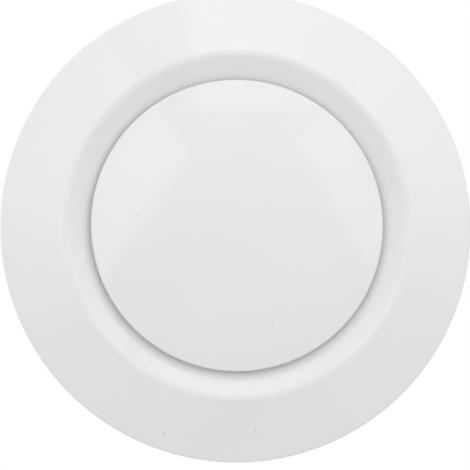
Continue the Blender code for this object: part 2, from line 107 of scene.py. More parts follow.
def turnedPiece(name, outline, sides, segments=4):
    # a circle extruded ring by ring; a corner is (radius, height), and a third number rounds it
    rings = [corner for corner in outline if corner[0] > 0]
    radius, height = rings[0][:2]
    bpy.ops.object.select_all(action="DESELECT")
    bpy.ops.mesh.primitive_circle_add(vertices=sides, radius=radius * mm, location=(0, 0, height * mm))
    piece = startEdit(name)
    for here, there in zip(rings, rings[1:]):
        extrudeRing(here, there)
    if outline[-1][0] == 0:
        extrudeRing(rings[-1], outline[-1])
    if outline[0][0] == 0:
        pickRing(piece, radius, height)
        extrudeRing(rings[0], outline[0])
    elif outline[-1][0] != 0:
        extrudeRing(rings[-1], rings[0])
    bpy.ops.mesh.select_all(action="SELECT")
    bpy.ops.mesh.remove_doubles(threshold=weld * mm)
    bpy.ops.mesh.normals_make_consistent(inside=False)
    for corner in rings:
        if len(corner) > 2:
            pickRing(piece, corner[0], corner[1])
            bpy.ops.mesh.bevel(offset=corner[2] * mm, segments=segments, profile=0.5, affect="EDGES")
    bpy.ops.object.mode_set(mode="OBJECT")
    return piece


def stationBar(name, stations, width, soften=0.0, segments=2):
    # a rectangle extruded outwards along X through (distance, low, high) stations
    distance, low, high = stations[0]
    place = (distance * mm, 0, (low + high) / 2 * mm)
    bpy.ops.object.select_all(action="DESELECT")
    bpy.ops.mesh.primitive_plane_add(size=1, location=place, rotation=(0, pi / 2, 0))
    bar = startEdit(name, ((high - low) * mm, width * mm, 1))
    for there in stations[1:]:
        middle = (there[1] + there[2]) / 2
        step = ((there[0] - distance) * mm, 0, (middle - (low + high) / 2) * mm)
        bpy.ops.mesh.extrude_region_move(TRANSFORM_OT_translate={"value": step})
        tall = (there[2] - there[1]) / (high - low)
        place = (there[0] * mm, 0, middle * mm)
        bpy.ops.transform.resize(value=(1, 1, tall), center_override=place)
        distance, low, high = there
    bpy.ops.mesh.select_all(action="SELECT")
    bpy.ops.mesh.normals_make_consistent(inside=False)
    if soften:
        bpy.ops.mesh.select_all(action="DESELECT")
        bpy.ops.mesh.edges_select_sharp(sharpness=radians(crease))
        bpy.ops.mesh.bevel(offset=soften * mm, segments=segments, profile=0.5, affect="EDGES")
    bpy.ops.object.mode_set(mode="OBJECT")
    return bar


def turnTo(piece, angle, axis="Z"):
    # turns a piece about the middle
    piece.rotation_euler = (0, 0, radians(angle)) if axis == "Z" else (0, radians(angle), 0)
    applyPlace(piece)


def moveBy(piece, x, y, z):
    piece.location = (x * mm, y * mm, z * mm)
    applyPlace(piece)


def copyOf(piece, name):
    # a copy with a mesh of its own
    selectOnly(piece)
    bpy.ops.object.duplicate()
    copy = bpy.context.object
    copy.name = name
    copy.data.name = name
    return copy


def ringOf(piece, count, start=0.0):
    # copies the piece round Z until it stands count times, all in one mesh
    turnTo(piece, start)
    bpy.ops.object.mode_set(mode="EDIT")
    bpy.ops.mesh.select_all(action="SELECT")
    for _ in range(count - 1):
        bpy.ops.mesh.duplicate()
        bpy.ops.transform.rotate(value=2 * pi / count, orient_axis="Z", center_override=(0, 0, 0))
    bpy.ops.object.mode_set(mode="OBJECT")
    return piece


def hexagonBar(halfFlat, length, middle):
    # an upright hexagon bar, whose flats are halfFlat from the axis
    corner = halfFlat / cos(pi / 6)
    place = (0, 0, middle * mm)
    bpy.ops.object.select_all(action="DESELECT")
    bpy.ops.mesh.primitive_cylinder_add(
        vertices=6, radius=corner * mm, depth=length * mm, location=place
    )
    return bpy.context.object


def sideHole(radius, span, sides, height):
    # a drill through the wall on the +X side, over a span of distances from the axis
    inner, outer = span
    drill = turnedPiece("drill", [(0, inner), (radius, inner), (radius, outer), (0, outer)], sides)
    turnTo(drill, 90, "Y")
    moveBy(drill, 0, 0, height)
    return drill


def applyModifier(piece, modifier):
    selectOnly(piece)
    bpy.ops.object.modifier_apply(modifier=modifier.name)


def combine(piece, tool, operation):
    # joins or cuts with an exact Boolean, then throws the tool away
    boolean = piece.modifiers.new(operation.lower(), "BOOLEAN")
    boolean.operation = operation
    boolean.solver = "EXACT"
    boolean.object = tool
    applyModifier(piece, boolean)
    bpy.data.objects.remove(tool, do_unlink=True)
    bpy.ops.object.mode_set(mode="EDIT")
    bpy.ops.mesh.select_all(action="SELECT")
    bpy.ops.mesh.remove_doubles(threshold=fineWeld * mm)
    bpy.ops.mesh.dissolve_degenerate(threshold=fineWeld * mm)
    bpy.ops.object.mode_set(mode="OBJECT")


def settle(piece, body, node, material, sharp=32.0):
    # smooth shading, the finish, and the body and node that the piece stands for
    selectOnly(piece)
    bpy.ops.object.shade_smooth_by_angle(angle=radians(sharp))
    piece.data.materials.clear()
    piece.data.materials.append(material)
    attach(piece, body)
    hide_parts(node)


# finishes

def newFinish(name, colour, roughness, metallic=0.0):
    finish = bpy.data.materials.new(name)
    finish.use_nodes = True
    finish.diffuse_color = (*colour, 1)
    shader = finish.node_tree.nodes["Principled BSDF"]
    shader.inputs["Base Color"].default_value = (*colour, 1)
    shader.inputs["Roughness"].default_value = roughness
    shader.inputs["Metallic"].default_value = metallic
    return finish, shader


def addNode(finish, kind, **sockets):
    # a node with its input values set by name, spaces written as underscores
    node = finish.node_tree.nodes.new(kind)
    for name, value in sockets.items():
        node.inputs[name.replace("_", " ")].default_value = value
    return node


def wire(finish, source, target):
    finish.node_tree.links.new(source, target)


def placeOf(finish, stretch=(1, 1, 1), turn=0.0):
    # object coordinates, turned about Z and stretched
    place = finish.node_tree.nodes.new("ShaderNodeTexCoord")
    mapping = addNode(finish, "ShaderNodeMapping", Scale=stretch, Rotation=(0, 0, radians(turn)))
    wire(finish, place.outputs["Object"], mapping.inputs["Vector"])
    return mapping.outputs["Vector"]


def noise(finish, place, size, detail=2.0, rough=0.5):
    # cloudy noise whose lumps are about size mm across
    node = addNode(finish, "ShaderNodeTexNoise", Scale=1 / (size * mm), Detail=detail, Roughness=rough)
    wire(finish, place, node.inputs["Vector"])
    return node.outputs["Fac"]


def between(finish, amount, low, high, start=0.3, end=0.7):
    # spreads an amount over low to high; noise lies round one half, so 0.3 to 0.7 holds most of it
    node = addNode(
        finish, "ShaderNodeMapRange", From_Min=start, From_Max=end, To_Min=low, To_Max=high
    )
    wire(finish, amount, node.inputs["Value"])
    return node.outputs["Result"]


def blendColour(finish, amount, first, second):
    node = finish.node_tree.nodes.new("ShaderNodeMix")
    node.data_type = "RGBA"
    sockets = [socket for socket in node.inputs if socket.type == "RGBA"]
    for socket, colour in zip(sockets, (first, second)):
        if isinstance(colour, tuple):
            socket.default_value = (*colour, 1)
        else:
            wire(finish, colour, socket)
    wire(finish, amount, node.inputs["Factor"])
    return [socket for socket in node.outputs if socket.type == "RGBA"][0]


def addBump(finish, shader, height, strength, depth):
    node = addNode(finish, "ShaderNodeBump", Strength=strength, Distance=depth * mm)
    wire(finish, height, node.inputs["Height"])
    wire(finish, node.outputs["Normal"], shader.inputs["Normal"])


whitePlastic = {
    "light": (0.872, 0.872, 0.872),
    "shade": (0.852, 0.853, 0.855),
    "cloudSize": 35.0,
    "glossCloudSize": 35.0 / 3,
    "roughness": (0.07, 0.11),
    "refraction": 1.59,
    "grainSize": 1.6,
    "grain": (0.25, 0.004),  # strength and depth
    # the dark tone marks dirt specks and is also the painted shade of small dents; the light tone is the
    # dents' painted highlight
    "dirtAndPaintedShade": (0.16, 0.15, 0.14),
    "paintedHighlight": (0.97, 0.97, 0.97),
    "markDepth": 2.0,
    "markCore": 0.4,  # the share of a mark's reach that has its full tone
}


def makeWhitePlastic(name, marks):
    # glossy moulding with faint clouding and a slight skin, and its small marks at their places: dark
    # specks of dirt, and lighter and darker lines that are the painted highlight and painted shade of
    # small dents
    w = whitePlastic
    finish, shader = newFinish(name, w["light"], w["roughness"][0])
    shader.inputs["IOR"].default_value = w["refraction"]
    place = placeOf(finish)
    clouds = between(finish, noise(finish, place, w["cloudSize"]), 0, 1)
    colour = blendColour(finish, clouds, w["light"], w["shade"])
    # each mark blends its tone in round its spot: a dirt speck, or a painted highlight or painted shade
    # line of a dent
    for spot, length, width, angle, tone, strength in marks:
        mapping = addNode(
            finish,
            "ShaderNodeMapping",
            Location=Vector(spot) * mm,
            Rotation=(0, 0, radians(angle)),
            Scale=Vector((length, width, w["markDepth"])) * mm,
        )
        mapping.vector_type = "TEXTURE"
        wire(finish, place, mapping.inputs["Vector"])
        away = addNode(finish, "ShaderNodeVectorMath")
        away.operation = "LENGTH"
        wire(finish, mapping.outputs["Vector"], away.inputs[0])
        fade = between(finish, away.outputs["Value"], strength, 0, w["markCore"], 1)
        colour = blendColour(finish, fade, colour, w[tone])
    wire(finish, colour, shader.inputs["Base Color"])
    uneven = noise(finish, place, w["glossCloudSize"])
    wire(finish, between(finish, uneven, *w["roughness"]), shader.inputs["Roughness"])
    addBump(finish, shader, noise(finish, place, w["grainSize"]), *w["grain"])
    return finish


foam = {
    "colour": (0.16, 0.16, 0.17),
    "roughness": 0.95,
    "poreSize": 0.7,
    "poreEdge": (0.1, 0.6),
    "pore": (0.07, 0.07, 0.075),
    "skin": (0.2, 0.2, 0.21),
    "grain": (0.7, 0.3),
}


def makeFoam():
    # closed-cell foam: small dark pores in a dull grey skin
    finish, shader = newFinish("greyFoam", foam["colour"], foam["roughness"])
    place = placeOf(finish)
    pores = addNode(finish, "ShaderNodeTexVoronoi", Scale=1 / (foam["poreSize"] * mm))
    wire(finish, place, pores.inputs["Vector"])
    shade = between(finish, pores.outputs["Distance"], 0, 1, *foam["poreEdge"])
    colour = blendColour(finish, shade, foam["pore"], foam["skin"])
    wire(finish, colour, shader.inputs["Base Color"])
    addBump(finish, shader, pores.outputs["Distance"], *foam["grain"])
    return finish


steel = {
    "colour": (0.56, 0.57, 0.58),
    "roughness": 0.3,
    "stretch": 0.02,  # draws the rolling lines out along the leaf
    "lines": (0.25, 4.0),
    "stains": (7.0, 4.0),
    "tones": ((0.53, 0.53, 0.54), (0.61, 0.61, 0.62)),
    "gloss": (0.2, 0.42),
    "grain": (0.3, 0.01),
}


def makeSpringSteel(angle):
    # rolled strip: fine lines that run down the leaf, so the pattern turns with it
    finish, shader = newFinish("springSteel", steel["colour"], steel["roughness"], 1.0)
    lines = noise(finish, placeOf(finish, (1, 1, steel["stretch"]), -angle), *steel["lines"])
    stains = between(finish, noise(finish, placeOf(finish), *steel["stains"]), 0, 1)
    wire(finish, blendColour(finish, stains, *steel["tones"]), shader.inputs["Base Color"])
    wire(finish, between(finish, lines, *steel["gloss"]), shader.inputs["Roughness"])
    addBump(finish, shader, lines, *steel["grain"])
    return finish


# base is colour, roughness and metal; blotches, uneven and grainNoise are a noise's size, detail
# and roughness; grain is the bump's strength and depth
blotched = {
    "blackRubber": {
        "base": ((0.022, 0.022, 0.023), 0.62, 0.0),
        "blotches": (6.0, 6.0, 0.6),
        "tones": ((0.018, 0.018, 0.019), (0.034, 0.033, 0.032)),
        "uneven": (3.0, 4.0),
        "gloss": (0.5, 0.72),
        "grainNoise": (0.35, 3.0),
        "grain": (0.4, 0.03),
    },
    "zincPlatedSteel": {
        "base": ((0.62, 0.63, 0.65), 0.32, 1.0),
        "blotches": (2.5, 5.0, 0.6),
        "tones": ((0.55, 0.56, 0.58), (0.68, 0.69, 0.7)),
        "uneven": (1.0, 4.0),
        "gloss": (0.24, 0.42),
        "grainNoise": (0.3, 3.0),
        "grain": (0.25, 0.008),
    },
    "rivetAluminium": {
        "base": ((0.76, 0.76, 0.77), 0.38, 1.0),
        "blotches": (1.5, 4.0),
        "tones": ((0.7, 0.7, 0.71), (0.8, 0.8, 0.81)),
        "uneven": (0.5, 4.0),
        "gloss": (0.3, 0.48),
        "grainNoise": (0.25, 2.0),
        "grain": (0.3, 0.01),
    },
    "greyPlastic": {
        "base": ((0.4, 0.41, 0.42), 0.45, 0.0),
        "blotches": (8.0, 2.0),
        "tones": ((0.37, 0.38, 0.39), (0.43, 0.44, 0.45)),
        "uneven": (1.0, 3.0),
        "gloss": (0.38, 0.52),
        "grainNoise": (0.3, 2.0),
        "grain": (0.35, 0.02),
    },
}


def makeBlotched(name):
    # soft blotches of colour, uneven gloss and a fine grain
    look = blotched[name]
    finish, shader = newFinish(name, *look["base"])
    place = placeOf(finish)
    blotches = between(finish, noise(finish, place, *look["blotches"]), 0, 1)
    wire(finish, blendColour(finish, blotches, *look["tones"]), shader.inputs["Base Color"])
    uneven = noise(finish, place, *look["uneven"])
    wire(finish, between(finish, uneven, *look["gloss"]), shader.inputs["Roughness"])
    addBump(finish, shader, noise(finish, place, *look["grainNoise"]), *look["grain"])
    return finish


# housing: flange, crest, funnel and collar in one moulding

housing = {
    "sides": 192,
    "roundingSteps": 6,
    "outline": [
        # flange lip, flange and crest
        (75.0, -0.9, 0.22), (75.0, -2.5, 0.575), (74.0, -2.837), (70.0, -4.183), (66.0, -5.529),
        (62.0, -6.875), (58.5, -8.053), (57.0, -8.558), (54.6, -9.365, 1.25),
        # funnel and bore
        (52.4, -7.991), (50.0, -6.491), (47.0, -4.616), (44.5, -3.054, 1.66), (44.5, 0.0),
        (44.5, 20.0), (44.5, 38.0, 0.3),
        # collar's outside, with the beads and the groove of the lip seal
        (45.8, 38.0, 0.2), (46.8, 37.0, 0.2), (46.8, 35.6), (48.1, 34.95, 0.2), (48.1, 34.3, 0.15),
        (46.2, 34.3), (46.2, 30.7), (48.1, 30.7, 0.15), (48.1, 29.4, 0.15), (46.8, 29.4),
        (46.8, 12.0), (46.8, -2.133, 0.83),
        # back of the funnel and the flange, with the fence of the foam gasket
        (50.0, -4.133), (53.0, -6.007), (54.858, -7.168, 0.94), (57.5, -6.279), (59.358, -5.654),
        (59.358, -3.5, 0.2), (60.658, -3.5, 0.2), (60.658, -5.216), (66.0, -3.418),
        (73.484, -0.9, 0.2),
    ],
    "ribs": [(47.2, -4.0, -3.1), (54.73, -8.2, -3.1), (67.4, -3.9, -3.1)],
    "ribCount": 24,
    "ribWidth": 1.2,
    "ribRounding": 0.18,
    "hubSides": 96,
    "hubRadius": 7.8,
    "hubLow": 15.72,
    "hubHigh": 25.72,
    "hubRoundings": (0.3, 0.5, 0.4),  # the bore's mouth, the foot's edge and the head's edge
    "hubSteps": 3,
    "holeRadius": 3.3,
    "arms": [(6.9, 16.4, 25.05), (45.7, 17.92, 23.52)],
    "armCount": 4,
    "armWidth": 2.0,
    "armRounding": 0.45,
    "pads": [(45.6, 21.1, 28.4), (47.3, 21.1, 28.4)],
    "padCount": 4,
    "padAngle": 45,
    "padWidth": 12.0,
    "pocketFloor": 20.42,
    "pocketDepth": 10.0,
    "pocketFlat": 5.3,
    "rivetHoleRadius": 1.8,
    "rivetHoleSpan": (42.0, 50.0),
    "rivetHoleSides": 24,
    "rivetHeight": 24.6,
    "marks": [
        # place, half length, half width, angle, tone, strength
        ((5.73, 64.63, -6.0), 0.32, 0.3, 0, "dirtAndPaintedShade", 0.62),
        ((-22.85, 65.8, -5.4), 0.32, 0.55, 0, "dirtAndPaintedShade", 0.85),
        ((-51.8, 30.6, -7.4), 0.28, 0.28, 0, "dirtAndPaintedShade", 0.2),
        ((-25.5, -56.5, -6.9), 0.3, 0.3, 0, "dirtAndPaintedShade", 0.2),
    ],
}


def makeHousing():
    h = housing
    piece = turnedPiece("flangeHousing", h["outline"], h["sides"], h["roundingSteps"])
    ribs = stationBar("ribs", h["ribs"], h["ribWidth"], h["ribRounding"])
    combine(piece, ringOf(ribs, h["ribCount"], 180 / h["ribCount"]), "UNION")
    low, high, bore, edge = h["hubLow"], h["hubHigh"], h["holeRadius"], h["hubRadius"]
    mouth, foot, head = h["hubRoundings"]
    hubOutline = [(bore, low, mouth), (edge, low, foot), (edge, high, head), (bore, high)]
    hub = turnedPiece("hub", hubOutline, h["hubSides"], h["hubSteps"])
    arms = stationBar("arms", h["arms"], h["armWidth"], h["armRounding"], h["hubSteps"])
    combine(hub, ringOf(arms, h["armCount"]), "UNION")
    combine(piece, hub, "UNION")
    pads = stationBar("pads", h["pads"], h["padWidth"])
    combine(piece, ringOf(pads, h["padCount"], h["padAngle"]), "UNION")
    depth = h["pocketDepth"]
    combine(piece, hexagonBar(h["pocketFlat"], depth, h["pocketFloor"] + depth / 2), "DIFFERENCE")
    hole = sideHole(h["rivetHoleRadius"], h["rivetHoleSpan"], h["rivetHoleSides"], h["rivetHeight"])
    combine(piece, ringOf(hole, h["padCount"], h["padAngle"]), "DIFFERENCE")
    finish = makeWhitePlastic("whiteHousing", h["marks"])
    settle(piece, "housing", "flange_housing", finish)
    print("housing", len(piece.data.polygons), "faces")


# valve disc: domed face, rolled rim, ribs, ring and boss

disc = {
    "sides": 256,
    "roundings": (0.45, 0.3, 0.2),  # the rim's front edge, the larger and the smaller edges behind
    "roundingSteps": 5,
    "apex": -12.579,
    "domeRadius": 208.724,
    "wall": 2.0,
    "faceEnd": 45.4,
    "faceRings": 16,
    "radius": 46.3,
    "edge": -7.379,
    "back": -5.379,
    "rimInside": 44.1,
    "backRings": (40.0, 35.0, 30.0),
    "innerRings": (20.0, 15.0, 10.0),
    "ringRadius": 25.0,
    "ringHalf": 0.7,
    "ringTop": -6.672,
    "bossRadius": 6.5,
    "bossTop": -3.979,
    "holeRadius": 3.3,
    "holeFloor": -10.379,
    "ribCount": 8,
    "ribWidth": 1.4,
    "ribRounding": 0.15,
    "ribStart": 5.0,
    "ribRun": 40.2,
    "ribSteps": 10,
    "ribTop": -4.479,
    "ribFall": 1.4,
    "nicks": [(-35.2, 0.35), (-29.6, 0.3)],  # angle and depth of the dents in the rim
    "nickRadius": 1.3,
    "nickSpan": (-9.0, -6.6),
    "nickRounding": 0.3,
    "nickSides": 32,
    "marks": [
        # place, half length, half width, angle, tone, strength
        ((11.0, 31.85, -9.9), 0.26, 0.34, 0, "dirtAndPaintedShade", 0.5),
        ((-16.7, 34.05, -9.2), 0.26, 0.26, 0, "dirtAndPaintedShade", 0.1),
        # painted light and shade: each lighter line is a painted highlight and each darker line beside it
        # a painted shade, standing for the relief of two small dents in the face
        ((-32.2, -4.8, -10.1), 1.7, 0.3, 8, "paintedHighlight", 0.3),
        ((-31.6, -2.95, -10.2), 1.1, 0.32, 5, "dirtAndPaintedShade", 0.18),
        ((32.8, -17.6, -9.2), 1.2, 0.22, 5, "paintedHighlight", 0.4),
        ((32.4, -17.2, -9.3), 1.3, 0.22, 5, "dirtAndPaintedShade", 0.06),
        ((32.4, -16.7, -9.4), 1.3, 0.22, 5, "paintedHighlight", 0.45),
        ((31.8, -16.0, -9.4), 1.0, 0.22, 5, "dirtAndPaintedShade", 0.1),
    ],
}


def domeHeight(radius, depth=0.0):
    return disc["apex"] + disc["domeRadius"] - sqrt((disc["domeRadius"] - depth) ** 2 - radius**2)


def makeDisc():
    d = disc
    wall, back, inside = d["wall"], d["back"], d["rimInside"]
    boss, bossTop, bore = d["bossRadius"], d["bossTop"], d["holeRadius"]
    face = [d["faceEnd"] * step / d["faceRings"] for step in range(1, d["faceRings"] + 1)]
    ringIn, ringOut = d["ringRadius"] - d["ringHalf"], d["ringRadius"] + d["ringHalf"]
    front, large, small = d["roundings"]
    outline = [(0, d["apex"])] + [(r, domeHeight(r)) for r in face]
    outline += [(d["radius"], d["edge"], front), (d["radius"], back, large)]
    outline += [(inside, back, small), (inside, domeHeight(inside, wall))]
    outline += [(r, domeHeight(r, wall)) for r in (*d["backRings"], ringOut)]
    outline += [(ringOut, d["ringTop"], small), (ringIn, d["ringTop"], small)]
    outline += [(r, domeHeight(r, wall)) for r in (ringIn, *d["innerRings"], boss)]
    outline += [(boss, bossTop, large), (bore, bossTop, small)]
    outline += [(bore, d["holeFloor"]), (0, d["holeFloor"])]
    piece = turnedPiece("valveDisc", outline, d["sides"], d["roundingSteps"])
    steps = range(d["ribSteps"] + 1)
    reach = [d["ribStart"] + d["ribRun"] * step / d["ribSteps"] for step in steps]
    tops = [d["ribTop"] - d["ribFall"] * (r - d["ribStart"]) / d["ribRun"] for r in reach]
    stations = [(r, domeHeight(r, wall / 2), top) for r, top in zip(reach, tops)]
    ribs = stationBar("discRibs", stations, d["ribWidth"], d["ribRounding"])
    combine(piece, ringOf(ribs, d["ribCount"]), "UNION")
    low, high = d["nickSpan"]
    width = d["nickRadius"]
    for angle, depth in d["nicks"]:
        away = d["radius"] + width - depth
        nickOutline = [(0, low), (width, low), (width, high, d["nickRounding"]), (0, high)]
        nick = turnedPiece("nick", nickOutline, d["nickSides"])
        moveBy(nick, away * cos(radians(angle)), away * sin(radians(angle)), 0)
        combine(piece, nick, "DIFFERENCE")
    finish = makeWhitePlastic("whiteDisc", d["marks"])
    settle(piece, "disc", "valve_disc", finish)
    print("disc", len(piece.data.polygons), "faces")


# soft seals

gasket = {
    "sides": 128,
    "roundingSteps": 3,
    "outline": [(58.66, -2.8, 0.25), (67.14, -2.8, 0.25), (67.14, 0.0, 0.25), (58.66, 0.0, 0.25)],
}

lipSeal = {
    "sides": 160,
    "roundingSteps": 4,
    "outline": [
        (46.5, 31.0, 0.15), (47.9, 31.0, 0.3), (47.9, 32.9, 0.35), (51.1, 31.4, 0.25),
        (51.1, 32.1, 0.3), (47.9, 34.0, 0.3), (46.5, 34.0, 0.15),
    ],
}


def makeSeals():
    g, s = gasket, lipSeal
    ring = turnedPiece("foamGasket", g["outline"], g["sides"], g["roundingSteps"])
    settle(ring, "housing", "foam_gasket", makeFoam())
    ring = turnedPiece("ductLipSeal", s["outline"], s["sides"], s["roundingSteps"])
    settle(ring, "housing", "duct_lip_seal", makeBlotched("blackRubber"))
    print("seals done")


# leaf springs and their rivets

spring = {
    "count": 4,
    "firstAngle": 45,
    "width": 10.0,
    "thickness": 0.4,
    "distance": 47.8,
    "top": 28.1,
    "fold": 21.1,
    "foot": 2.367,
    "bow": 3.8,
    "bowArc": 158.0,
    "bowSteps": 20,
    "cornerRounding": 1.5,
    "cornerSteps": 5,
    "holeRadius": 1.8,
    "holeSpan": (45.0, 50.0),
    "holeSides": 32,
    "holeHeight": 24.6,
    "smoothAngle": 40,
}


def springLeaf():
    # the flat top is extruded down along its bow, then its corners are rounded and it gets its wall
    s = spring
    middle = (s["top"] + s["fold"]) / 2
    place = (s["distance"] * mm, 0, middle * mm)
    bpy.ops.object.select_all(action="DESELECT")
    bpy.ops.mesh.primitive_plane_add(size=1, location=place, rotation=(0, pi / 2, 0))
    leaf = startEdit("leaf", ((s["top"] - s["fold"]) * mm, s["width"] * mm, 1))
    pick(leaf, lambda spot: abs(spot.z - s["fold"]) < near)
    bowed, height = 0.0, s["fold"]
    for step in range(1, s["bowSteps"] + 1):
        share = step / s["bowSteps"]
        nextBow = s["bow"] * sin(radians(s["bowArc"]) * share)
        nextHeight = s["fold"] + share * (s["foot"] - s["fold"])
        along = ((nextBow - bowed) * mm, 0, (nextHeight - height) * mm)
        bpy.ops.mesh.extrude_edges_move(TRANSFORM_OT_translate={"value": along})
        bowed, height = nextBow, nextHeight

    def atCorner(spot):
        atEnd = spot.z > s["top"] - near or spot.z < s["foot"] + near
        return abs(abs(spot.y) - s["width"] / 2) < near and atEnd

    pick(leaf, atCorner)
    rounding, steps = s["cornerRounding"] * mm, s["cornerSteps"]
    bpy.ops.mesh.bevel(offset=rounding, segments=steps, profile=0.5, affect="VERTICES")
    bpy.ops.object.mode_set(mode="OBJECT")
    solidify = leaf.modifiers.new("thickness", "SOLIDIFY")
    solidify.thickness = s["thickness"] * mm
    solidify.offset = 0
    solidify.use_even_offset = True
    applyModifier(leaf, solidify)
    hole = sideHole(s["holeRadius"], s["holeSpan"], s["holeSides"], s["holeHeight"])
    combine(leaf, hole, "DIFFERENCE")
    return leaf


rivet = {
    "sides": 40,
    "roundingSteps": 2,
    "smoothAngle": 40,
    "distance": 48.3,
    "outline": [
        # domed head
        (0, 1.0), (0.8, 0.975), (1.6, 0.89), (2.3, 0.75), (2.8, 0.56), (3.0, 0.3), (3.0, -0.24, 0.08),
        # shank and the upset head inside the collar
        (1.5, -0.24), (1.5, -3.86), (2.4, -3.86, 0.1), (2.4, -4.3), (2.0, -4.9, 0.1), (0, -4.9),
    ],
}


def rivetBody():
    r = rivet
    piece = turnedPiece("rivet", r["outline"], r["sides"], r["roundingSteps"])
    turnTo(piece, 90, "Y")
    moveBy(piece, r["distance"], 0, spring["holeHeight"])
    return piece


def makeFixings():
    # one leaf and one rivet are modelled on the +X side, and each copy is turned to its place
    firstLeaf, firstRivet = springLeaf(), rivetBody()
    leafSmooth, rivetSmooth = spring["smoothAngle"], rivet["smoothAngle"]
    for number in range(1, spring["count"] + 1):
        angle = spring["firstAngle"] + (number - 1) * 360 / spring["count"]
        leaf = copyOf(firstLeaf, f"retainingSpring{number}")
        turnTo(leaf, angle)
        strip = makeSpringSteel(angle)
        settle(leaf, "housing", f"retaining_spring_{number}", strip, leafSmooth)
        piece = copyOf(firstRivet, f"springRivet{number}")
        turnTo(piece, angle)
        metal = makeBlotched("rivetAluminium")
        settle(piece, "housing", f"spring_rivet_{number}", metal, rivetSmooth)
    for model in (firstLeaf, firstRivet):
        bpy.data.objects.remove(model, do_unlink=True)
    print("springs and rivets done")


# spindle with its rolled thread

spindle = {
    "foot": -10.079,
    "top": 45.521,
    "pitch": 1.0,
    "crestRadius": 3.0,
    "rootRadius": 2.42,
    "rootFlat": 0.2,  # flats and flanks of the thread, as shares of the pitch
    "flank": 0.34,
    "crestFlat": 0.12,
    "stepsPerTurn": 36,
    "spareTurns": 2,
    "chamfer": 0.7,
    "blankSides": 64,
    "blankRoom": 0.5,
    "smoothAngle": 25,
}


def makeSpindle(zinc):
    # the thread is drawn at its root and wound up longer than the rod, then a turned blank trims it
    s = spindle
    foot, top, pitch = s["foot"], s["top"], s["pitch"]
    start = foot - s["spareTurns"] * pitch
    bpy.ops.object.select_all(action="DESELECT")
    bpy.ops.mesh.primitive_plane_add(size=mm, location=(s["rootRadius"] * mm, 0, start * mm))
    rod = startEdit("spindleRod")
    bpy.ops.mesh.merge(type="CENTER")
    deep = s["crestRadius"] - s["rootRadius"]
    for out, up in ((0, s["rootFlat"]), (deep, s["flank"]), (0, s["crestFlat"]), (-deep, s["flank"])):
        move = (out * mm, 0, up * pitch * mm)
        bpy.ops.mesh.extrude_vertices_move(TRANSFORM_OT_translate={"value": move})
    bpy.ops.object.mode_set(mode="OBJECT")
    helix = rod.modifiers.new("thread", "SCREW")
    helix.axis = "Z"
    helix.angle = 2 * pi
    helix.screw_offset = pitch * mm
    helix.iterations = ceil((top - foot) / pitch) + 2 * s["spareTurns"]
    helix.steps = helix.render_steps = s["stepsPerTurn"]
    helix.use_merge_vertices = True
    helix.merge_threshold = threadWeld * mm
    applyModifier(rod, helix)
    bpy.ops.object.mode_set(mode="EDIT")
    bpy.ops.mesh.select_all(action="SELECT")
    bpy.ops.mesh.remove_doubles(threshold=threadWeld * mm)
    for height, side in ((foot - pitch, -1), (top + pitch, 1)):
        bpy.ops.mesh.select_all(action="SELECT")
        bpy.ops.mesh.bisect(
            plane_co=(0, 0, height * mm), plane_no=(0, 0, side), use_fill=True, clear_outer=True
        )
    bpy.ops.mesh.select_all(action="SELECT")
    bpy.ops.mesh.normals_make_consistent(inside=False)
    bpy.ops.object.mode_set(mode="OBJECT")
    end, wide = s["crestRadius"] - s["chamfer"], s["crestRadius"] + s["blankRoom"]
    rise = s["chamfer"] + s["blankRoom"]
    blankOutline = [(0, foot), (end, foot), (wide, foot + rise), (wide, top - rise), (end, top), (0, top)]
    combine(rod, turnedPiece("blank", blankOutline, s["blankSides"]), "INTERSECT")
    settle(rod, "disc", "spindle", zinc, s["smoothAngle"])
    print("spindle", len(rod.data.polygons), "faces")


# hexagon nuts and washers

nuts = {
    "halfFlat": 5.0,
    "halfFace": 4.85,  # where the chamfer of an end face starts
    "cornerRoom": 0.3,
    "chamferAngle": 30,
    "crownRadius": 4.3,
    "crownChamfer": 0.3,
    "crownRounding": 0.2,
    "roundingSteps": 3,
    "smoothAngle": 25,
    "blankSides": 96,
    "barLength": 40.0,
    "boreRadius": 3.06,
    "boreMouth": 3.6,
    "boreOver": 1.0,  # how far the bore's cutter stands out at both ends
    "boreSides": 64,
    "list": [
        # name, underside, top, top of its crown, body, node
        ("hubNut", 20.72, 25.72, None, "housing", "hub_nut"),
        ("jamNut", -1.779, 1.421, None, "disc", "jam_nut"),
        ("stopNut", 38.021, 42.421, 44.021, "disc", "stop_nut"),
    ],
}

washers = {
    "holeRadius": 3.2,
    "roundings": (0.15, 0.2, 0.3),  # the hole's edges, the lower and the upper outer edge
    "roundingSteps": 3,
    "sides": 96,
    "list": [
        # name, underside, top, radius, body, node
        ("spindleWasher", -3.679, -2.079, 6.0, "disc_slide", "spindle_washer"),
        ("lockWasher", 12.521, 13.721, 7.0, "lock_slide", "lock_washer"),
    ],
}


def makeBore(low, high, mouth):
    # a cutter whose cones open the bore at both ends
    radius, over = nuts["boreRadius"], nuts["boreOver"]
    cone = mouth - radius
    outline = [(0, low - over), (mouth + over, low - over), (radius, low + cone)]
    outline += [(radius, high - cone), (mouth + over, high + over), (0, high + over)]
    return turnedPiece("bore", outline, nuts["boreSides"])


